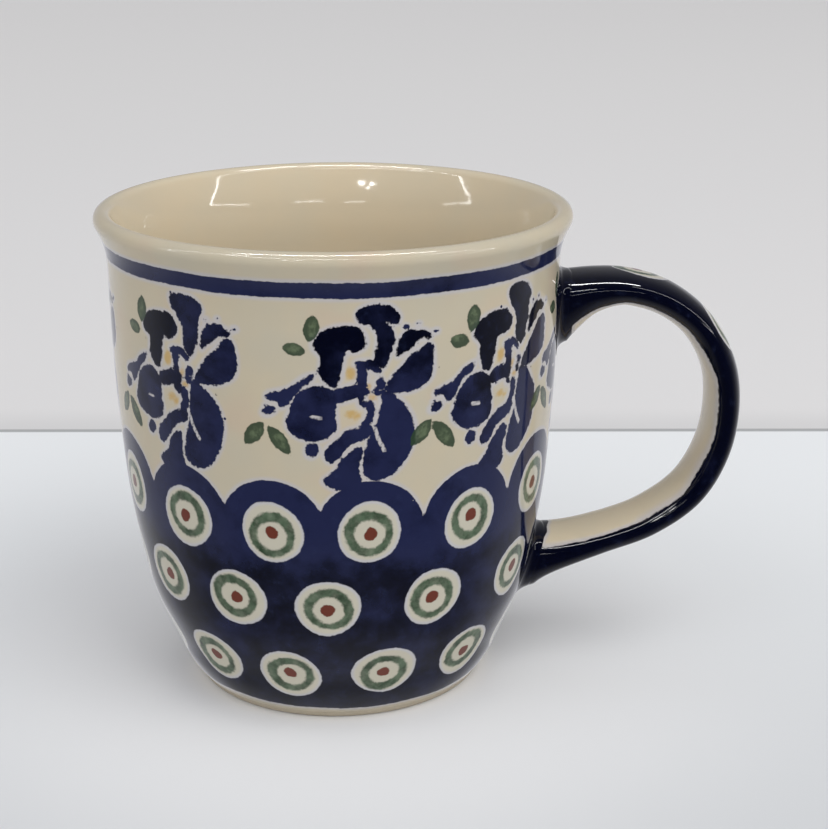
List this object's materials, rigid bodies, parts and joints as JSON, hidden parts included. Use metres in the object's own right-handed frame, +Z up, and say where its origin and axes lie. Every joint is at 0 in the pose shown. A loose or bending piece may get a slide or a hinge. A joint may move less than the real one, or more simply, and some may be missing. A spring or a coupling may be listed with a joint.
{
  "type": "stoneware mug",
  "caption": "Stoneware drinking mug: a tapering round cup with a rolled flaring lip, a small turned foot and a strap handle to hold it by.",
  "frame": {"origin": "middle of the footprint of cup and handle together, on the plane the foot stands on; the cup's own axis is 17.3 mm towards -X", "axes": "+Z up along the cup's axis, +X towards the handle, the handle lies in the XZ plane"},
  "size_m": [0.1266, 0.092, 0.0952],
  "materials": {
    "cup_glaze": "clear glossy glaze over cream stoneware, hand-painted and stamped in cobalt blue, green and red-brown",
    "handle_glaze": "clear glossy glaze over dark cobalt, cream on the inner face",
    "slip_glaze": "clear glossy glaze over dark cobalt"
  },
  "bodies": {
    "root": {"cup_body": "cup_glaze", "handle": "handle_glaze", "upper_slip_joint": "slip_glaze", "lower_slip_joint": "slip_glaze"}
  },
  "joints": []
}
